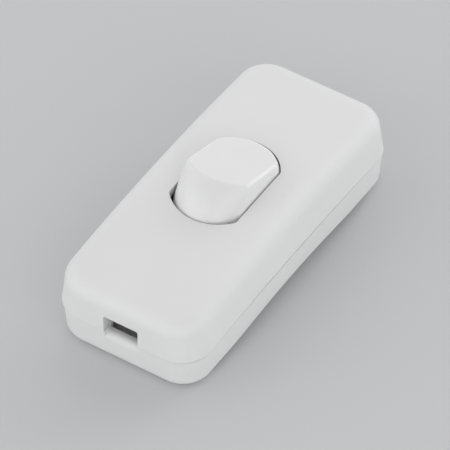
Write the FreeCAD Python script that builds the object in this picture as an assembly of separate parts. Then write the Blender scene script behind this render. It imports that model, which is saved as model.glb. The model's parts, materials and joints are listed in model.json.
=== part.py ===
import FreeCAD, Part
import math
import os

# Inline cord switch, in millimetres. X runs along the cord, Z is up and z = 0 is where it rests.

# Housing outside
body_length = 66.2
body_width = 30.0
corner_radius = 5.9
top_end_z = 15.18
top_rise = 2.09
part_end_z = 7.02
part_rise = 1.06
part_gap = 0.4
foot_length = 5.0
belly_rise = 2.66
cover_end_slope = 0.035
cover_side_slope = 0.125
cover_edge_radius = 3.3
base_step = 0.28
base_slope = 0.055
base_edge_radius = 2.2

# Housing walls
wall = 1.9
floor_thickness = 1.8
tongue_height = 1.4
tongue_thickness = 1.0
tongue_root = 2.0
tongue_clearance = 0.15

# Cord inlets
inlet_width = 7.1
inlet_low_z = 6.45
inlet_high_z = 10.75
inlet_corner = 0.4
inlet_depth = 4.0
inlet_lip = 1.3

# Rocker, about its own pivot before it is tilted
pivot_z = 12.0
tilt = 16.5
crown_height = 8.7
near_reach = 7.1
far_reach = 8.7
skirt_height = -0.7
flank_height = 3.3
skirt_half_width = 6.75
flank_draft = 0.45
near_crown_bulge = 3.8
far_crown_bulge = 0.4
skirt_bulge = 0.4
crown_blend = 4
rocker_corner = 2.2
rocker_edge = 0.7
rocker_wall = 1.5
rib_thickness = 1.2
rib_low = 1.3
stem_radius = 2.7
lug_radius = 2.4
trunnion_radius = 1.5
trunnion_chamfer = 0.3
running_fit = 0.06
end_gap = 0.3
side_gap = 0.25
near_opening_bulge = 2.0
far_opening_bulge = 0.9
opening_corner = 0.8

# Cover lugs that carry the rocker
ear_thickness = 1.8
ear_half_width = 4.2
ear_radius = 2.7

# Plunger and spring
plunger_radius = 1.5
tip_radius = 1.0
tip_lift = 1.05
tip_show = 1.8
plunger_length = 4.6
spigot_radius = 0.7
spigot_height = 1.2
spring_length = 6.0
spring_radius = 1.15
spring_wire = 0.17
spring_turns = 6
spring_seat = 0.05

# See-saw contact
bead_z = 5.55
bead_radius = 0.45
bead_fit = 0.05
blade_thickness = 0.5
blade_length = 6.6
blade_half_width = 1.9
blade_drop = 0.25
blade_corner = 0.95
arm_angle = 16.2
seesaw_swing = 8.0
rivet_reach = 5.4
rivet_shank = 0.6
rivet_radius = 1.2
rivet_height = 0.5
rivet_cap_radius = 0.9
rivet_cap_height = 0.25
rivet_edge = 0.25
stand_thickness = 0.7
contact_gap = 0.15
stop_gap = 0.3

# Terminals
strip_low_z = 4.7
strip_thickness = 0.5
strip_width = 4.0
row_gap = 0.45
block_inset = 15.1
block_length = 6.0
block_width = 5.0
block_height = 5.4
block_edge = 0.4
wire_hole_radius = 1.4
wire_hole_lift = 2.4
strip_rivet_head = 1.4
strip_rivet_shank = 0.8
strip_rivet_depth = 1.2
strip_rivet_height = 0.5
strip_rivet_gap = 0.25
pad_radius = 2.0

# Screws
thread_fit = 0.05
screw_room = 0.5
slot_width = 0.6
slot_depth = 0.7
cross_reach = 1.55
head_chamfer = 0.35
point_chamfer = 0.4
terminal_head_radius = 1.9
terminal_head_height = 1.6
terminal_shank = 1.25
terminal_lift = 0.6
clamp_head_radius = 2.2
clamp_head_height = 1.4
clamp_shank = 1.25
clamp_screw_length = 6.5
case_head_radius = 2.4
case_head_height = 1.7
case_shank = 1.3
case_screw_length = 8.2

# Screw posts and cord clamps
post_room = 0.45
post_radius = 2.8
boss_radius = 3.3
boss_top_z = 7.0
head_seat_z = 4.4
head_clearance = 0.3
clamp_inset = 8.1
clamp_post_y = 5.7
clamp_post_radius = 2.3
clamp_seat_z = 9.9
clamp_thickness = 2.2
clamp_depth = 4.6
clamp_length = 16.0
clamp_corner = 1.9
cord_radius = 3.4
cord_axis_z = 8.4
cradle_lift = 1.0
tooth_height = 0.4
tooth_pitch = 1.4

# Places that follow from the sizes above
near_nose_radius = math.hypot(crown_height, near_reach)
far_nose_radius = math.hypot(crown_height, far_reach)
tip_low = bead_z + tip_lift - pivot_z
stem_low = tip_low + tip_show
plunger_top = tip_low + plunger_length
spring_top = plunger_top + spring_length
clamp_x = body_length / 2 - clamp_inset
block_x = body_length / 2 - block_inset
post_x = far_nose_radius + end_gap + post_room + post_radius
row_y = body_width / 2 - wall - tongue_clearance - tongue_thickness - row_gap - block_width / 2
strip_high_z = strip_low_z + strip_thickness

# Drawing aids: the axes, the two signs, how far cutters run past a face and how close counts as touching
x_axis = FreeCAD.Vector(1, 0, 0)
y_axis = FreeCAD.Vector(0, 1, 0)
z_axis = FreeCAD.Vector(0, 0, 1)
origin = FreeCAD.Vector(0, 0, 0)
ends = (-1, 1)
margin = 5.0
cut_past = 0.5
touching = 0.001


def vec(x, y, z):
    return FreeCAD.Vector(x, y, z)


def box(x, y, low, size_x, size_y, high):
    corner = vec(x - size_x / 2, y - size_y / 2, low)
    return Part.makeBox(size_x, size_y, high - low, corner)


def post(x, y, low, high, radius):
    return Part.makeCylinder(radius, high - low, vec(x, y, low), z_axis)


def cross_pin(radius, low_y, high_y, x=0.0, z=0.0):
    return Part.makeCylinder(radius, high_y - low_y, vec(x, low_y, z), y_axis)


def fuse(shapes):
    return shapes[0].multiFuse(shapes[1:]).removeSplitter()


def arc(a, b, c):
    return Part.Arc(a, b, c).toShape()


def rounded_rectangle(length, width, radius, z):
    x, y, d = length / 2, width / 2, radius * (1 - math.sqrt(0.5))
    edges = []
    for sx, sy in ((1, 1), (-1, 1), (-1, -1), (1, -1)):
        start = vec(sx * x, sy * (y - radius), z)
        end = vec(sx * (x - radius), sy * y, z)
        middle = vec(sx * (x - d), sy * (y - d), z)
        edges.append((start, middle, end) if sx == sy else (end, middle, start))
    wire = []
    for here, after in zip(edges, edges[1:] + edges[:1]):
        wire.append(arc(*here))
        wire.append(Part.makeLine(here[2], after[0]))
    return Part.Wire(wire)


def drafted_block(inset, end_slope, side_slope, low, high):
    """Rounded block that is full size at the parting height and whose walls lean in above it."""
    wires = []
    radius = corner_radius - min(inset, wall + tongue_thickness)
    for z in (low, high):
        rise = z - part_end_z
        length = body_length - 2 * (inset + end_slope * rise)
        width = body_width - 2 * (inset + side_slope * rise)
        wires.append(rounded_rectangle(length, width, radius, z))
    return Part.makeLoft(wires, True, True)


def arched_edge(end_z, rise, half):
    left, right = vec(-half, 0, end_z), vec(half, 0, end_z)
    if rise == 0:
        return Part.makeLine(left, right)
    return arc(left, vec(0, 0, end_z + rise), right)


def arched_slab(low_end, low_rise, high_end, high_rise, half=body_length / 2):
    """Everything between two edges that arch along X, cut off at the given half length."""
    low = arched_edge(low_end, low_rise, half)
    high = arched_edge(high_end, high_rise, half)
    left = Part.makeLine(low.Vertexes[0].Point, high.Vertexes[0].Point)
    right = Part.makeLine(low.Vertexes[1].Point, high.Vertexes[1].Point)
    face = Part.Face(Part.Wire([low, right, high, left]))
    face.translate(vec(0, -body_width, 0))
    return face.extrude(vec(0, 2 * body_width, 0))


def outline_edges(shape, highest):
    pick = max if highest else min
    face = pick(shape.Faces, key=lambda f: f.CenterOfMass.z)
    return face.OuterWire.Edges


def edges_at(shape, z):
    return [e for e in shape.Edges if abs(e.CenterOfMass.z - z) < touching]


def upright_edges(shape):
    return [e for e in shape.Edges if abs(e.tangentAt(e.FirstParameter).z) > 1 - touching]


def slot_end(reach, radius, half_width, corner):
    """Points round a corner of a slot: end of the flat side, middle of the blend, start of the end arc."""
    rise = half_width - corner
    run = math.sqrt((radius - corner) ** 2 - rise ** 2)
    centre = reach - radius
    scale = radius / (radius - corner)
    lean = (math.atan2(rise, run) + math.pi / 2) / 2
    blend = (centre + run + corner * math.cos(lean), rise + corner * math.sin(lean))
    return (centre + run, half_width), blend, (centre + run * scale, rise * scale)


def slot_wire(near, far, half_width, corner, z):
    """Flat-sided slot shape; near and far each hold the reach and radius of an arched end."""
    edges = []
    sides = []
    for sign, (reach, radius) in zip(ends, (near, far)):
        points = slot_end(reach, radius, half_width, corner)
        for t in ends:
            edges.append(arc(*[vec(sign * x, t * y, z) for x, y in points]))
        x, y = points[2]
        edges.append(arc(vec(sign * x, -y, z), vec(sign * reach, 0, z), vec(sign * x, y, z)))
        sides.append(sign * points[0][0])
    for t in ends:
        edges.append(Part.makeLine(vec(sides[0], t * half_width, z), vec(sides[1], t * half_width, z)))
    return Part.Wire(Part.__sortEdges__(edges))


def inlet_cutter(sign):
    face = rounded_rectangle(inlet_high_z - inlet_low_z, inlet_width, inlet_corner, 0)
    solid = Part.Face(face).extrude(vec(0, 0, inlet_depth + margin))
    solid.rotate(origin, y_axis, 90)
    low_x = body_length / 2 - inlet_depth if sign > 0 else -body_length / 2 - margin
    solid.translate(vec(low_x, 0, (inlet_low_z + inlet_high_z) / 2))
    return solid


# Rocker

def nose_reach(radius, height):
    return math.sqrt(radius ** 2 - height ** 2)


def rocker_sections(heights, inset):
    wires = []
    for h in heights:
        share = max(0.0, (h - flank_height) / (crown_height - flank_height)) ** crown_blend
        half_width = skirt_half_width - flank_draft * share - inset
        near_bulge = skirt_bulge + (near_crown_bulge - skirt_bulge) * share
        far_bulge = skirt_bulge + (far_crown_bulge - skirt_bulge) * share
        near = (nose_reach(near_nose_radius - inset, h), half_width + near_bulge)
        far = (nose_reach(far_nose_radius - inset, h), half_width + far_bulge)
        wires.append(slot_wire(near, far, half_width, rocker_corner, h))
    return wires


def spread(low, high, count):
    return [low + (high - low) * i / (count - 1) for i in range(count)]


def tilted(shape):
    shape.rotate(origin, y_axis, tilt)
    shape.translate(vec(0, 0, pivot_z))
    return shape


def make_rocker():
    shell = Part.makeLoft(rocker_sections(spread(skirt_height, crown_height, 7), 0), True)
    shell = shell.makeFillet(rocker_edge, outline_edges(shell, True))
    roof = crown_height - rocker_wall
    heights = spread(skirt_height - rocker_wall, roof, 6)
    shell = shell.cut(Part.makeLoft(rocker_sections(heights, rocker_wall), True))
    inside = skirt_half_width - rocker_wall / 2
    rib_top = roof + rocker_wall / 2
    parts = [shell, post(0, 0, stem_low, rib_top, stem_radius)]
    parts.append(box(0, 0, skirt_height, rib_thickness, 2 * inside, rib_top))
    parts.append(box(0, 0, rib_low, 2 * inside, rib_thickness, rib_top))
    pin_end = skirt_half_width + side_gap + ear_thickness
    for s in ends:
        side = sorted((s * (skirt_half_width - rocker_wall), s * skirt_half_width))
        parts.append(cross_pin(lug_radius, *side))
        pin = cross_pin(trunnion_radius, *sorted((s * inside, s * pin_end)))
        rim = [e for e in pin.Edges if abs(abs(e.CenterOfMass.y) - pin_end) < touching]
        parts.append(pin.makeChamfer(trunnion_chamfer, rim))
    bore = post(0, 0, stem_low - margin, spring_top, plunger_radius + running_fit)
    return tilted(fuse(parts).cut(bore))


def make_plunger():
    tip_centre = tip_low + tip_radius
    shoulder = tip_centre + (plunger_radius - tip_radius)
    shank = post(0, 0, shoulder, plunger_top, plunger_radius)
    cone = Part.makeCone(tip_radius, plunger_radius, shoulder - tip_centre, vec(0, 0, tip_centre))
    ball = Part.makeSphere(tip_radius, vec(0, 0, tip_centre))
    spigot = post(0, 0, plunger_top, plunger_top + spigot_height, spigot_radius)
    return tilted(fuse([shank, cone, ball, spigot]))


def make_spring():
    low = plunger_top + spring_seat + spring_wire
    length = spring_top - spring_wire - low
    path = Part.makeHelix(length / spring_turns, length, spring_radius)
    ring = Part.Wire(Part.makeCircle(spring_wire, vec(spring_radius, 0, 0), y_axis))
    coil = Part.Wire(path).makePipeShell([ring], True, True)
    coil.translate(vec(0, 0, low))
    return tilted(coil)


# See-saw contact

def seat_seesaw(shape):
    shape.rotate(origin, y_axis, -seesaw_swing)
    shape.translate(vec(0, 0, bead_z))
    return shape


def on_arm(shape, sign):
    """Moves a shape drawn at the vertex out along one arm of the see-saw."""
    shape.translate(vec(sign * rivet_reach, 0, 0))
    shape.rotate(origin, y_axis, -sign * arm_angle)
    shape.translate(vec(0, 0, blade_drop))
    return shape


def make_blade():
    lean = math.radians(arm_angle)
    tip_x, tip_z = blade_length * math.cos(lean), blade_drop + blade_length * math.sin(lean)
    lift_x, lift_z = blade_thickness * math.sin(lean), blade_thickness * math.cos(lean)
    top_z = blade_drop + blade_thickness / math.cos(lean)
    lower = [(-tip_x, tip_z), (0, blade_drop), (tip_x, tip_z)]
    upper = [(tip_x - lift_x, tip_z + lift_z), (0, top_z), (lift_x - tip_x, tip_z + lift_z)]
    points = [vec(x, -blade_half_width, z) for x, z in lower + upper + lower[:1]]
    face = Part.Face(Part.makePolygon(points))
    blade = face.extrude(vec(0, 2 * blade_half_width, 0))
    tips = [e for e in blade.Edges if abs(abs(e.CenterOfMass.x) - tip_x + lift_x / 2) < touching]
    blade = blade.makeFillet(blade_corner, tips)
    blade = blade.cut(cross_pin(bead_radius + bead_fit, -body_width, body_width))
    return seat_seesaw(blade.cut(on_arm(post(0, 0, -margin, margin, rivet_shank), 1)))


def make_moving_contact():
    head = post(0, 0, -rivet_height, 0, rivet_radius)
    shank = post(0, 0, -rivet_height, blade_thickness, rivet_shank)
    cap = post(0, 0, blade_thickness, blade_thickness + rivet_cap_height, rivet_cap_radius)
    return seat_seesaw(on_arm(fuse([head, shank, cap]), 1))


def arm_low_z(reach):
    """Height of an arm's underside above the rest plane when that arm is the lower one."""
    lean = math.radians(arm_angle - seesaw_swing)
    return bead_z + blade_drop * math.cos(math.radians(seesaw_swing)) + reach * math.sin(lean)


contact_top_z = arm_low_z(rivet_reach - rivet_radius) - rivet_height - contact_gap
contact_x = rivet_reach * math.cos(math.radians(arm_angle - seesaw_swing))


def make_fixed_contact():
    head = post(contact_x, 0, strip_high_z, contact_top_z, rivet_radius)
    head = head.makeFillet(rivet_edge, edges_at(head, contact_top_z))
    return fuse([head, post(contact_x, 0, strip_low_z, strip_high_z, rivet_shank)])


# Terminals

def strip(x, y, size_x, size_y):
    return box(x, y, strip_low_z, size_x, size_y, strip_high_z)


def terminal_block(x, y):
    hole_z = strip_low_z + wire_hole_lift
    block = box(x, y, strip_low_z, block_length, block_width, strip_low_z + block_height)
    block = block.makeFillet(block_edge, upright_edges(block))
    wire = Part.makeCylinder(wire_hole_radius, body_length, vec(x - body_length / 2, y, hole_z), x_axis)
    thread = post(x, y, hole_z, strip_low_z + block_height, terminal_shank + thread_fit)
    return block.cut(wire).cut(thread)


def strip_rivet_places():
    inner_x = block_x - block_length / 2 - strip_rivet_head - strip_rivet_gap
    return [(s * inner_x, t * row_y) for s in ends for t in ends]


def pierced(shape):
    for x, y in strip_rivet_places():
        shape = shape.cut(post(x, y, 0, strip_high_z + margin, strip_rivet_shank))
    return shape


def live_terminal(sign, foot_x):
    """Strip from under the see-saw out to its row, then along it to a screw block."""
    inner, outer = blade_half_width, row_y + strip_width / 2
    leg = strip(foot_x, (inner - outer) / 2, strip_width, inner + outer)
    run_end = sign * (block_x + block_length / 2)
    run = strip((foot_x + run_end) / 2, -row_y, abs(run_end - foot_x), strip_width)
    return fuse([leg, run, terminal_block(sign * block_x, -row_y)])


def make_pivot_terminal():
    stand = box(0, 0, strip_low_z, stand_thickness, 2 * blade_half_width, bead_z)
    bead = cross_pin(bead_radius, -blade_half_width, blade_half_width, 0, bead_z)
    return pierced(fuse([live_terminal(-1, 0), stand, bead]))


def make_contact_terminal():
    return pierced(live_terminal(1, contact_x).cut(post(contact_x, 0, 0, bead_z, rivet_shank)))


def make_through_terminal():
    run = strip(0, row_y, 2 * block_x, strip_width)
    return pierced(fuse([run] + [terminal_block(s * block_x, row_y) for s in ends]))


def make_strip_rivets():
    rivets = []
    for x, y in strip_rivet_places():
        top_z = strip_high_z + strip_rivet_height
        head = post(x, y, strip_high_z, top_z, strip_rivet_head)
        head = head.makeChamfer(rivet_edge, edges_at(head, top_z))
        shank = post(x, y, strip_low_z - strip_rivet_depth, strip_high_z, strip_rivet_shank)
        rivets.append(fuse([head, shank]))
    return Part.makeCompound(rivets)


# Screws

def screw(head_radius, head_height, shank_radius, length, slot_reaches):
    """Screw with its head above z = 0 and its shank below, with one slot or a cross in the head."""
    head = post(0, 0, 0, head_height, head_radius)
    head = head.makeChamfer(head_chamfer, edges_at(head, head_height))
    shank = post(0, 0, -length, 0, shank_radius)
    solid = fuse([head, shank.makeChamfer(point_chamfer, edges_at(shank, -length))])
    for turn, reach in enumerate(slot_reaches):
        groove = box(0, 0, head_height - slot_depth, 2 * reach, slot_width, head_height + slot_depth)
        groove.rotate(origin, z_axis, 90 * turn)
        solid = solid.cut(groove)
    return solid


def placed(shape, x, y, z):
    copy = shape.copy()
    copy.translate(vec(x, y, z))
    return copy


def make_terminal_screws():
    reach = block_height - wire_hole_lift - wire_hole_radius / 2 + terminal_lift
    one = screw(terminal_head_radius, terminal_head_height, terminal_shank, reach, [terminal_head_radius])
    z = strip_low_z + block_height + terminal_lift
    return Part.makeCompound([placed(one, s * block_x, t * row_y, z) for s in ends for t in ends])


def make_clamp_screws():
    slots = [clamp_head_radius]
    one = screw(clamp_head_radius, clamp_head_height, clamp_shank, clamp_screw_length, slots)
    z = clamp_seat_z + clamp_thickness
    return Part.makeCompound([placed(one, s * clamp_x, t * clamp_post_y, z) for s in ends for t in ends])


def make_housing_screws():
    slots = [cross_reach, cross_reach]
    one = screw(case_head_radius, case_head_height, case_shank, case_screw_length, slots)
    one.rotate(origin, x_axis, 180)
    return Part.makeCompound([placed(one, s * post_x, 0, head_seat_z) for s in ends])


# Cord clamps

def cord_rod(radius, length, x, z):
    return Part.makeCylinder(radius, length, vec(x - length / 2, 0, z), x_axis)


def make_cord_clamp(sign):
    bar = box(0, 0, clamp_seat_z, clamp_depth, clamp_length, clamp_seat_z + clamp_thickness)
    bar = bar.makeFillet(clamp_corner, upright_edges(bar))
    bar = bar.cut(cord_rod(cord_radius, clamp_depth, 0, cord_axis_z))
    for step in (-1, 0, 1):
        bar = bar.cut(cord_rod(cord_radius + tooth_height, tooth_height, step * tooth_pitch, cord_axis_z))
    for t in ends:
        bar = bar.cut(post(0, t * clamp_post_y, 0, body_width, clamp_shank + thread_fit))
    bar.translate(vec(sign * clamp_x, 0, 0))
    return bar


# Housing

def opening_cutter():
    """Hole for the rocker, its ends arched about the pivot so that both noses pass with an even gap."""
    wires = []
    half_width = skirt_half_width + side_gap
    low = top_end_z - wall - cut_past - pivot_z
    high = top_end_z + top_rise + cut_past - pivot_z
    for h in spread(low, high, 5):
        near = (nose_reach(near_nose_radius + end_gap, h), half_width + near_opening_bulge)
        far = (nose_reach(far_nose_radius + end_gap, h), half_width + far_opening_bulge)
        wires.append(slot_wire(near, far, half_width, opening_corner, h))
    cutter = Part.makeLoft(wires, True)
    cutter.translate(vec(0, 0, pivot_z))
    return cutter


def make_ear(sign):
    inner = skirt_half_width + side_gap
    low_y, high_y = sorted((sign * inner, sign * (inner + ear_thickness)))
    top_z = top_end_z + top_rise - wall / 2
    left = [vec(-ear_radius, low_y, pivot_z), vec(-ear_half_width, low_y, top_z)]
    right = [vec(ear_half_width, low_y, top_z), vec(ear_radius, low_y, pivot_z)]
    outline = Part.makePolygon(left + right + left[:1])
    web = Part.Face(outline).extrude(vec(0, ear_thickness, 0))
    ear = fuse([web, cross_pin(ear_radius, low_y, high_y, 0, pivot_z)])
    bore = cross_pin(trunnion_radius + running_fit, low_y - cut_past, high_y + cut_past, 0, pivot_z)
    return ear.cut(bore)


def make_cover():
    low, high = 0.0, top_end_z + top_rise + margin
    edge_z = part_end_z + part_gap / 2
    outer = drafted_block(0, cover_end_slope, cover_side_slope, part_end_z, high)
    outer = outer.common(arched_slab(edge_z, part_rise, top_end_z, top_rise))
    outer = outer.makeFillet(cover_edge_radius, outline_edges(outer, True))
    inner = drafted_block(wall, cover_end_slope, cover_side_slope, part_end_z, high)
    inner = inner.common(arched_slab(low, 0, top_end_z - wall, top_rise))
    inner = inner.makeFillet(cover_edge_radius - wall, outline_edges(inner, True))
    shell = outer.cut(inner)
    parts = [shell]
    for s in ends:
        parts.append(post(s * post_x, 0, boss_top_z, top_end_z, post_radius))
        parts.append(make_ear(s))
    cover = fuse(parts).cut(opening_cutter())
    for s in ends:
        cover = cover.cut(inlet_cutter(s))
        hole_top = head_seat_z + case_screw_length + screw_room
        cover = cover.cut(post(s * post_x, 0, 0, hole_top, case_shank + thread_fit))
    return cover


def base_features():
    """Posts, pads and ribs that stand on the floor."""
    parts = []
    for s in ends:
        parts.append(post(s * post_x, 0, 0, boss_top_z, boss_radius))
        parts.append(box(s * clamp_x, 0, 0, clamp_depth / 2, 2 * clamp_post_y, inlet_low_z))
        for t in ends:
            parts.append(post(s * clamp_x, t * clamp_post_y, 0, clamp_seat_z, clamp_post_radius))
            parts.append(box(s * block_x, t * row_y, 0, block_length, block_width, strip_low_z))
    for x, y in strip_rivet_places():
        parts.append(post(x, y, 0, strip_low_z, pad_radius))
    parts.append(box(0, 0, 0, strip_width, 2 * blade_half_width, strip_low_z))
    parts.append(box(contact_x, 0, 0, strip_width, 2 * blade_half_width, strip_low_z))
    stop_z = arm_low_z(rivet_reach) - stop_gap
    parts.append(box(-contact_x, 0, 0, rib_thickness, 2 * blade_half_width, stop_z))
    return parts


def inlet_notch(sign, low):
    """Square-cornered room for the cord at one end, from the given height up."""
    return box(sign * body_length / 2, 0, low, 2 * inlet_depth, inlet_width, inlet_high_z)


def make_tongue():
    inset = wall + tongue_clearance
    low = part_end_z - tongue_root
    high = part_end_z + part_rise + tongue_height + margin
    ring = drafted_block(inset, cover_end_slope, cover_side_slope, low, high)
    hole = drafted_block(inset + tongue_thickness, cover_end_slope, cover_side_slope, low, high)
    slab = arched_slab(low, part_rise, part_end_z + tongue_height, part_rise)
    tongue = ring.cut(hole).common(slab)
    for s in ends:
        tongue = tongue.cut(inlet_notch(s, low - cut_past))
    return tongue


def inlet_lip_edges(base):
    """The lower outside edge of each inlet."""
    outer_x = body_length / 2 - wall
    return [e for e in edges_at(base, inlet_low_z) if abs(e.CenterOfMass.x) > outer_x + base_step
            and abs(e.CenterOfMass.y) < touching]


def base_shell():
    """Arched tray with its feet at the two ends."""
    top_z = part_end_z + part_rise
    rim_z = part_end_z - part_gap / 2
    tray = drafted_block(base_step, -base_slope, -base_slope, -margin, top_z)
    tray = tray.common(arched_slab(0, 0, rim_z, part_rise))
    tray = tray.makeFillet(base_edge_radius, outline_edges(tray, False))
    tray = tray.cut(arched_slab(-margin, 0, 0, belly_rise, body_length / 2 - foot_length))
    cavity = drafted_block(base_step + wall, -base_slope, -base_slope, -margin, top_z)
    return tray.cut(cavity.common(arched_slab(floor_thickness, belly_rise, top_end_z, top_rise)))


def make_base():
    below = arched_slab(-margin, 0, floor_thickness / 2, belly_rise)
    features = [f.cut(below) for f in base_features()]
    base = fuse([base_shell(), make_tongue()] + features)
    for s in ends:
        base = base.cut(inlet_notch(s, inlet_low_z))
    base = base.makeFillet(inlet_lip, inlet_lip_edges(base))
    screw_end_z = clamp_seat_z + clamp_thickness - clamp_screw_length - screw_room
    for s in ends:
        base = base.cut(post(s * post_x, 0, -margin, head_seat_z, case_head_radius + head_clearance))
        base = base.cut(post(s * post_x, 0, 0, boss_top_z, case_shank + thread_fit))
        base = base.cut(cord_rod(cord_radius, 2 * clamp_depth, s * clamp_x, cord_axis_z + cradle_lift))
        for t in ends:
            place = (s * clamp_x, t * clamp_post_y)
            base = base.cut(post(*place, screw_end_z, clamp_seat_z, clamp_shank + thread_fit))
    for x, y in strip_rivet_places():
        base = base.cut(post(x, y, strip_low_z - strip_rivet_depth, strip_low_z, strip_rivet_shank))
    return base


nodes = {
    "upper_cover": make_cover(),
    "lower_base": make_base(),
    "rocker": make_rocker(),
    "plunger": make_plunger(),
    "plunger_spring": make_spring(),
    "contact_seesaw": make_blade(),
    "moving_contact": make_moving_contact(),
    "fixed_contact": make_fixed_contact(),
    "pivot_terminal": make_pivot_terminal(),
    "contact_terminal": make_contact_terminal(),
    "through_terminal": make_through_terminal(),
    "strip_rivets": make_strip_rivets(),
    "terminal_screws": make_terminal_screws(),
    "cord_clamp_near": make_cord_clamp(-1),
    "cord_clamp_far": make_cord_clamp(1),
    "clamp_screws": make_clamp_screws(),
    "housing_screws": make_housing_screws(),
}

os.makedirs("parts", exist_ok=True)
for name, shape in nodes.items():
    shape.exportStep("parts/" + name + ".step")
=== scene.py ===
import bpy
import bmesh
import json
import math
from mathutils import Matrix, Vector


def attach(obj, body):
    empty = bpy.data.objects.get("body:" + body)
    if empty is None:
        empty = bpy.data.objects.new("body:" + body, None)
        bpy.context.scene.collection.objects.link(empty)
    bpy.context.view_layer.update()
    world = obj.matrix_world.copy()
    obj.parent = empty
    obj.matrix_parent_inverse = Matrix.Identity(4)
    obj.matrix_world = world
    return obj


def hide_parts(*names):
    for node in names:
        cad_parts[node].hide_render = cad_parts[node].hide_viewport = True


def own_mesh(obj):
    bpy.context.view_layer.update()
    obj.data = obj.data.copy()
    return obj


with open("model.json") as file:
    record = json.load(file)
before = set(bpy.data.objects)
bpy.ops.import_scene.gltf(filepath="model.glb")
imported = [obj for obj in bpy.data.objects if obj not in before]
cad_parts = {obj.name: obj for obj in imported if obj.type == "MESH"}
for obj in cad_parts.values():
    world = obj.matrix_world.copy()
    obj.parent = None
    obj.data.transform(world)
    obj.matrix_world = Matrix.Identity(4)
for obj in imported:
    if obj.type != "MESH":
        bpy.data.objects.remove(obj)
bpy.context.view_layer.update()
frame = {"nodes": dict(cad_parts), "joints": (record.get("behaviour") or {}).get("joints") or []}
nodes = frame["nodes"]
joints = {joint["name"]: joint for joint in frame["joints"]}
print("frame loaded:", len(nodes), "nodes")

mixFirst, mixSecond, mixResult = 6, 7, 2   # a Mix node's colour sockets, whose names its other kinds share
evenScatter = (1.0, 1.0, 1.0)              # in a white plastic every colour scatters equally deep


def linear(code):  # sRGB hex to the linear values that the shaders take
    parts = [int(code[i:i + 2], 16) / 255 for i in (1, 3, 5)]
    return tuple(c / 12.92 if c <= 0.04045 else ((c + 0.055) / 1.055) ** 2.4 for c in parts) + (1.0,)


def perMetre(millimetres):  # texture scale that gives cells of this size on Object coordinates
    return 1000.0 / millimetres


def addNode(tree, kind, settings=None, links=None):  # a setting is a socket by name or number, or a property
    node = tree.nodes.new(kind)
    for key, value in (settings or {}).items():
        if isinstance(key, int) or key in node.inputs:
            node.inputs[key].default_value = value
        else:
            setattr(node, key, value)
    for socket, source in (links or {}).items():
        tree.links.new(source, node.inputs[socket])
    return node


def startMaterial(name):
    material = bpy.data.materials.new(name)
    material.use_nodes = True
    tree = material.node_tree
    tree.nodes.clear()
    place = addNode(tree, "ShaderNodeTexCoord").outputs["Object"]
    return material, tree, place


def endMaterial(tree, settings, links):
    shader = addNode(tree, "ShaderNodeBsdfPrincipled", settings, links)
    addNode(tree, "ShaderNodeOutputMaterial", links={"Surface": shader.outputs["BSDF"]})


# ABS moulded in a spark-eroded tool: an even satin white, the light spread by a very fine grain
housingAbs = {
    "pale": "#e6e6e6",
    "deep": "#e0e0e0",
    "cloudMm": 14.0,
    "cloudDetail": 3.0,
    "grainMm": 0.45,           # the real grit is near 0.05 mm, drawn coarser so that it still shows
    "grainDetail": 4.0,
    "grainRoughness": 0.6,
    "grainDepth": 0.000012,
    "grainStrength": 0.6,
    "smooth": 0.42,
    "rough": 0.54,
    "ior": 1.53,
    "specular": 0.45,
    "milky": 0.3,              # share of the light that scatters under the surface
    "milkyDepth": 0.0008,
}


def housingMaterial(look):
    material, tree, place = startMaterial("abs_matt_moulded_white")
    cloud = addNode(tree, "ShaderNodeTexNoise",
                    {"Scale": perMetre(look["cloudMm"]), "Detail": look["cloudDetail"]}, {"Vector": place})
    tone = addNode(tree, "ShaderNodeMix",
                   {"data_type": "RGBA", mixFirst: linear(look["pale"]), mixSecond: linear(look["deep"])},
                   {"Factor": cloud.outputs["Fac"]})
    grain = addNode(tree, "ShaderNodeTexNoise",
                    {"Scale": perMetre(look["grainMm"]), "Detail": look["grainDetail"],
                     "Roughness": look["grainRoughness"]}, {"Vector": place})
    gloss = addNode(tree, "ShaderNodeMapRange", {"To Min": look["smooth"], "To Max": look["rough"]},
                    {"Value": grain.outputs["Fac"]})
    bump = addNode(tree, "ShaderNodeBump",
                   {"Strength": look["grainStrength"], "Distance": look["grainDepth"]},
                   {"Height": grain.outputs["Fac"]})
    endMaterial(tree, {"IOR": look["ior"], "Specular IOR Level": look["specular"],
                       "Subsurface Weight": look["milky"], "Subsurface Radius": evenScatter,
                       "Subsurface Scale": look["milkyDepth"]},
                {"Base Color": tone.outputs[mixResult], "Roughness": gloss.outputs["Result"],
                 "Normal": bump.outputs["Normal"]})
    return material


# ABS moulded against a polished tool: a clear highlight on every edge, faintly dulled where thumbs rub
rockerAbs = {
    "pale": "#e6e6e6",
    "deep": "#e2e2e2",
    "cloudMm": 9.0,
    "cloudDetail": 2.0,
    "smudgeMm": 2.6,
    "smudgeDetail": 5.0,
    "smudgeRoughness": 0.65,
    "smudgeStart": 0.35,       # noise values between which the gloss goes from smooth to rubbed
    "smudgeEnd": 0.7,
    "smooth": 0.13,
    "rubbed": 0.24,
    "waveMm": 3.5,
    "waveDetail": 1.0,
    "waveDepth": 0.00001,
    "waveStrength": 0.5,
    "ior": 1.53,
    "specular": 0.4,
    "milky": 0.9,              # the thin edges pass some light on, and show paler than the faces
    "milkyDepth": 0.0008,
}


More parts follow.
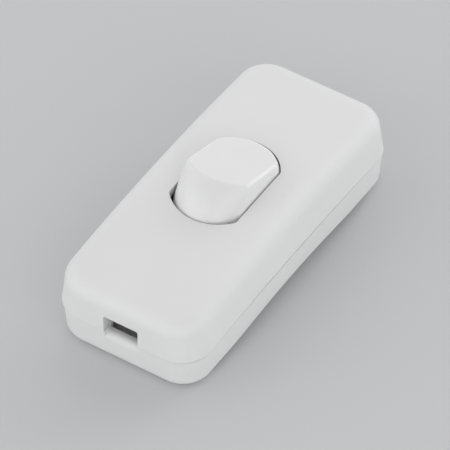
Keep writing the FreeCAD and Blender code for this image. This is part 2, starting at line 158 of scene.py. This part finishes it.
def rockerMaterial(look):
    material, tree, place = startMaterial("abs_gloss_moulded_white")
    cloud = addNode(tree, "ShaderNodeTexNoise",
                    {"Scale": perMetre(look["cloudMm"]), "Detail": look["cloudDetail"]}, {"Vector": place})
    tone = addNode(tree, "ShaderNodeMix",
                   {"data_type": "RGBA", mixFirst: linear(look["pale"]), mixSecond: linear(look["deep"])},
                   {"Factor": cloud.outputs["Fac"]})
    smudge = addNode(tree, "ShaderNodeTexNoise",
                     {"Scale": perMetre(look["smudgeMm"]), "Detail": look["smudgeDetail"],
                      "Roughness": look["smudgeRoughness"]}, {"Vector": place})
    gloss = addNode(tree, "ShaderNodeMapRange",
                    {"From Min": look["smudgeStart"], "From Max": look["smudgeEnd"],
                     "To Min": look["smooth"], "To Max": look["rubbed"]}, {"Value": smudge.outputs["Fac"]})
    wave = addNode(tree, "ShaderNodeTexNoise",
                   {"Scale": perMetre(look["waveMm"]), "Detail": look["waveDetail"]}, {"Vector": place})
    bump = addNode(tree, "ShaderNodeBump",
                   {"Strength": look["waveStrength"], "Distance": look["waveDepth"]},
                   {"Height": wave.outputs["Fac"]})
    endMaterial(tree, {"IOR": look["ior"], "Specular IOR Level": look["specular"],
                       "Subsurface Weight": look["milky"], "Subsurface Radius": evenScatter,
                       "Subsurface Scale": look["milkyDepth"]},
                {"Base Color": tone.outputs[mixResult], "Roughness": gloss.outputs["Result"],
                 "Normal": bump.outputs["Normal"]})
    return material


# Nylon, natural, moulded: a warm milky plastic with a soft waxy shine
plungerNylon = {
    "pale": "#ddd6c4",
    "deep": "#cfc7b2",
    "cloudMm": 1.8,
    "cloudDetail": 2.0,
    "grainMm": 0.3,
    "grainDepth": 0.00001,
    "grainStrength": 0.5,
    "roughness": 0.38,
    "ior": 1.53,
    "milky": 0.5,
    "milkyDepth": 0.001,
    "scatter": (1.0, 0.9, 0.7),   # red light goes deepest
}


def plungerMaterial(look):
    material, tree, place = startMaterial("nylon_natural_moulded")
    cloud = addNode(tree, "ShaderNodeTexNoise",
                    {"Scale": perMetre(look["cloudMm"]), "Detail": look["cloudDetail"]}, {"Vector": place})
    tone = addNode(tree, "ShaderNodeMix",
                   {"data_type": "RGBA", mixFirst: linear(look["pale"]), mixSecond: linear(look["deep"])},
                   {"Factor": cloud.outputs["Fac"]})
    grain = addNode(tree, "ShaderNodeTexNoise", {"Scale": perMetre(look["grainMm"])}, {"Vector": place})
    bump = addNode(tree, "ShaderNodeBump",
                   {"Strength": look["grainStrength"], "Distance": look["grainDepth"]},
                   {"Height": grain.outputs["Fac"]})
    endMaterial(tree, {"IOR": look["ior"], "Roughness": look["roughness"],
                       "Subsurface Weight": look["milky"], "Subsurface Radius": look["scatter"],
                       "Subsurface Scale": look["milkyDepth"]},
                {"Base Color": tone.outputs[mixResult], "Normal": bump.outputs["Normal"]})
    return material


# Brass sheet, stamped and tumbled: yellow metal with fine rolling lines and darker tarnish in patches
contactBrass = {
    "bright": "#d8b566",
    "tarnish": "#a8824a",
    "patchMm": 3.2,
    "lineMm": 0.22,
    "lineDepth": 0.000006,
    "smooth": 0.24,
    "rough": 0.42,
}

# Spring steel wire, drawn: bright grey with faint fine lines
springSteel = {
    "bright": "#c2c4c6",
    "tarnish": "#8b8d90",
    "patchMm": 0.9,
    "lineMm": 0.1,
    "lineDepth": 0.000004,
    "smooth": 0.22,
    "rough": 0.36,
}

# Zinc-plated steel, barrel plated: cool grey with a slightly uneven, cloudy brightness
screwZinc = {
    "bright": "#c9cbcc",
    "tarnish": "#9a9da0",
    "patchMm": 1.4,
    "lineMm": 0.35,
    "lineDepth": 0.000006,
    "smooth": 0.24,
    "rough": 0.4,
}

# Silver alloy, cold headed: pale and soft-looking, with a dull sulphide bloom
contactSilver = {
    "bright": "#dcdad4",
    "tarnish": "#a7a39a",
    "patchMm": 0.7,
    "lineMm": 0.12,
    "lineDepth": 0.000004,
    "smooth": 0.3,
    "rough": 0.45,
}

# What the four metals share: how far the tarnish spreads, and lines drawn out along the part
metalSurface = {
    "patchDetail": 4.0,
    "patchStart": 0.4,         # noise values between which the bright metal goes over to tarnish
    "patchEnd": 0.75,
    "lineDetail": 2.0,
    "lineStrength": 0.4,
    "lineStretch": (0.06, 1.0, 1.0),
}


def metalMaterial(name, look, surface):
    material, tree, place = startMaterial(name)
    patch = addNode(tree, "ShaderNodeTexNoise",
                    {"Scale": perMetre(look["patchMm"]), "Detail": surface["patchDetail"]}, {"Vector": place})
    spread = addNode(tree, "ShaderNodeMapRange",
                     {"From Min": surface["patchStart"], "From Max": surface["patchEnd"]},
                     {"Value": patch.outputs["Fac"]})
    tone = addNode(tree, "ShaderNodeMix",
                   {"data_type": "RGBA", mixFirst: linear(look["bright"]),
                    mixSecond: linear(look["tarnish"])}, {"Factor": spread.outputs["Result"]})
    stretch = addNode(tree, "ShaderNodeMapping", {"Scale": surface["lineStretch"]}, {"Vector": place})
    line = addNode(tree, "ShaderNodeTexNoise",
                   {"Scale": perMetre(look["lineMm"]), "Detail": surface["lineDetail"]},
                   {"Vector": stretch.outputs["Vector"]})
    gloss = addNode(tree, "ShaderNodeMapRange", {"To Min": look["smooth"], "To Max": look["rough"]},
                    {"Value": line.outputs["Fac"]})
    bump = addNode(tree, "ShaderNodeBump",
                   {"Strength": surface["lineStrength"], "Distance": look["lineDepth"]},
                   {"Height": line.outputs["Fac"]})
    endMaterial(tree, {"Metallic": 1.0},
                {"Base Color": tone.outputs[mixResult], "Roughness": gloss.outputs["Result"],
                 "Normal": bump.outputs["Normal"]})
    return material


finishes = {
    "housing": housingMaterial(housingAbs),
    "rocker": rockerMaterial(rockerAbs),
    "plunger": plungerMaterial(plungerNylon),
    "spring": metalMaterial("spring_steel_drawn", springSteel, metalSurface),
    "brass": metalMaterial("brass_sheet_stamped", contactBrass, metalSurface),
    "silver": metalMaterial("silver_alloy_headed", contactSilver, metalSurface),
    "zinc": metalMaterial("steel_zinc_plated", screwZinc, metalSurface),
}
wears = {   # which finish each CAD node gets
    "housing": ["upper_cover", "lower_base", "cord_clamp_near", "cord_clamp_far"],
    "rocker": ["rocker"],
    "plunger": ["plunger"],
    "brass": ["contact_seesaw", "pivot_terminal", "contact_terminal", "through_terminal", "strip_rivets"],
    "silver": ["moving_contact", "fixed_contact"],
    "zinc": ["terminal_screws", "clamp_screws", "housing_screws"],
}
for finish, names in wears.items():
    for name in names:
        for slot in nodes[name].material_slots:
            slot.material = finishes[finish]
print("finishes set on", sum(len(names) for names in wears.values()), "nodes")


# Coil spring above the plunger: one length of round wire, which closes up as the plunger slides in.
# Its heights are measured from the rocker's pivot, along the stem
coilSpring = {
    "radius": 0.00115,
    "wire": 0.00017,           # radius of the wire
    "turns": 6,
    "low": -0.00058,
    "rise": 0.00561,
    "seat": 0.0052,
    "stepsPerTurn": 40,
    "wireSides": 12,
}


def makeSpring(look):
    pivot = Vector(joints["rocker_tilt"]["pos_m"])
    stem = Vector(joints["plunger_slide"]["axis"])
    steps = look["turns"] * look["stepsPerTurn"]
    shape = bmesh.new()
    start = Matrix.Translation((look["radius"], 0, look["low"])) @ Matrix.Rotation(math.pi / 2, 4, "X")
    bmesh.ops.create_circle(shape, segments=look["wireSides"], radius=look["wire"], matrix=start)
    bmesh.ops.spin(shape, geom=shape.verts[:] + shape.edges[:], axis=(0, 0, 1),
                   dvec=(0, 0, look["rise"] / steps), angle=2 * math.pi * look["turns"], steps=steps)
    bmesh.ops.holes_fill(shape, edges=[edge for edge in shape.edges if edge.is_boundary])
    bmesh.ops.recalc_face_normals(shape, faces=shape.faces)
    lean = Vector((0, 0, 1)).rotation_difference(stem)
    stand = Matrix.Translation(pivot) @ lean.to_matrix().to_4x4()
    bmesh.ops.transform(shape, matrix=stand, verts=shape.verts)
    for face in shape.faces:
        face.smooth = len(face.verts) == 4   # the wire's sides, not its two cut ends
    mesh = bpy.data.meshes.new("plunger_coil")
    shape.to_mesh(mesh)
    shape.free()
    mesh.materials.append(finishes["spring"])
    coil = bpy.data.objects.new("plunger_coil", mesh)
    bpy.context.collection.objects.link(coil)
    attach(coil, "rocker")
    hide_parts("plunger_spring")
    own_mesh(coil)


makeSpring(coilSpring)
print("spring wound")


# Floor, a plain pale sheet of matt card: even and dull, with a hardly visible fibre
floorCard = {
    "size": 3.0,
    "colour": "#cbcccd",
    "fibreMm": 1.2,
    "fibreDepth": 0.00002,
    "fibreStrength": 0.05,
    "roughness": 0.9,
    "specular": 0.2,
}


def makeFloor(look):
    shape = bmesh.new()
    bmesh.ops.create_grid(shape, x_segments=1, y_segments=1, size=look["size"] / 2)
    mesh = bpy.data.meshes.new("floor")
    shape.to_mesh(mesh)
    shape.free()
    material, tree, place = startMaterial("card_matt_pale_grey")
    fibre = addNode(tree, "ShaderNodeTexNoise", {"Scale": perMetre(look["fibreMm"])}, {"Vector": place})
    bump = addNode(tree, "ShaderNodeBump",
                   {"Strength": look["fibreStrength"], "Distance": look["fibreDepth"]},
                   {"Height": fibre.outputs["Fac"]})
    endMaterial(tree, {"Base Color": linear(look["colour"]), "Roughness": look["roughness"],
                       "Specular IOR Level": look["specular"]}, {"Normal": bump.outputs["Normal"]})
    mesh.materials.append(material)
    floor = bpy.data.objects.new("floor", mesh)
    bpy.context.collection.objects.link(floor)


makeFloor(floorCard)
print("floor laid")


# Soft studio light: a white tent, brighter at its walls than overhead, four broad weak lamps, and a smaller
# one low at the far right that draws a line of light along the rocker's edge
studio = {"tent": "#ffffff", "overhead": 0.42, "walls": 0.97, "lamps": [
    {"name": "low_front", "place": (-1.4, -2.2, 0.7), "size": 3.0, "watts": 23.0},
    {"name": "low_left", "place": (-2.4, 1.0, 0.5), "size": 3.0, "watts": 16.5},
    {"name": "broad_left", "place": (-0.8, 2.1, 1.6), "size": 3.0, "watts": 12.5},
    {"name": "high_back", "place": (2.1, 0.5, 1.6), "size": 3.0, "watts": 14.5},
    {"name": "rim_right", "place": (2.1, -0.85, 0.8), "size": 1.2, "watts": 9.5},
]}


def lightStudio(look):
    world = bpy.data.worlds.new("white_tent")
    bpy.context.scene.world = world
    world.use_nodes = True
    tree = world.node_tree
    tent = tree.nodes["Background"]
    tent.inputs["Color"].default_value = linear(look["tent"])
    aim = addNode(tree, "ShaderNodeTexCoord").outputs["Generated"]
    height = addNode(tree, "ShaderNodeSeparateXYZ", links={"Vector": aim}).outputs["Z"]
    glow = addNode(tree, "ShaderNodeMapRange", {"To Min": look["walls"], "To Max": look["overhead"]},
                   {"Value": height})
    tree.links.new(glow.outputs["Result"], tent.inputs["Strength"])
    for lamp in look["lamps"]:
        data = bpy.data.lights.new(lamp["name"], "AREA")
        data.size = lamp["size"]
        data.energy = lamp["watts"]
        light = bpy.data.objects.new(lamp["name"], data)
        light.location = lamp["place"]
        light.rotation_euler = (-Vector(lamp["place"])).to_track_quat("-Z", "Y").to_euler()
        bpy.context.collection.objects.link(light)


lightStudio(studio)
print("lamps placed")


# Camera: a long lens from above the near right corner
shot = {
    "azimuth": -56.53,
    "elevation": 46.12,
    "roll": -0.68,
    "distance": 0.9164,
    "target": (-0.00084, -0.00058, 0.00759),
    "focalPixels": 5212.0,
    "imagePixels": 450,
    "sensorMm": 36.0,
    "farthest": 10.0,
}


def placeCamera(look):
    azimuth, elevation = math.radians(look["azimuth"]), math.radians(look["elevation"])
    right = Vector((math.cos(azimuth), math.sin(azimuth), 0))
    back = Vector((math.sin(azimuth) * math.cos(elevation), -math.cos(azimuth) * math.cos(elevation),
                   math.sin(elevation)))
    up = back.cross(right)
    turn = Matrix((right, up, back)).transposed().to_4x4()
    data = bpy.data.cameras.new("camera")
    data.sensor_width = look["sensorMm"]
    data.lens = look["focalPixels"] * look["sensorMm"] / look["imagePixels"]
    data.clip_end = look["farthest"]
    camera = bpy.data.objects.new("camera", data)
    eye = Matrix.Translation(Vector(look["target"]) + back * look["distance"])
    camera.matrix_world = eye @ turn @ Matrix.Rotation(math.radians(look["roll"]), 4, "Z")
    bpy.context.collection.objects.link(camera)
    bpy.context.scene.camera = camera


placeCamera(shot)
bpy.context.scene.view_settings.view_transform = "Standard"
print("camera set")
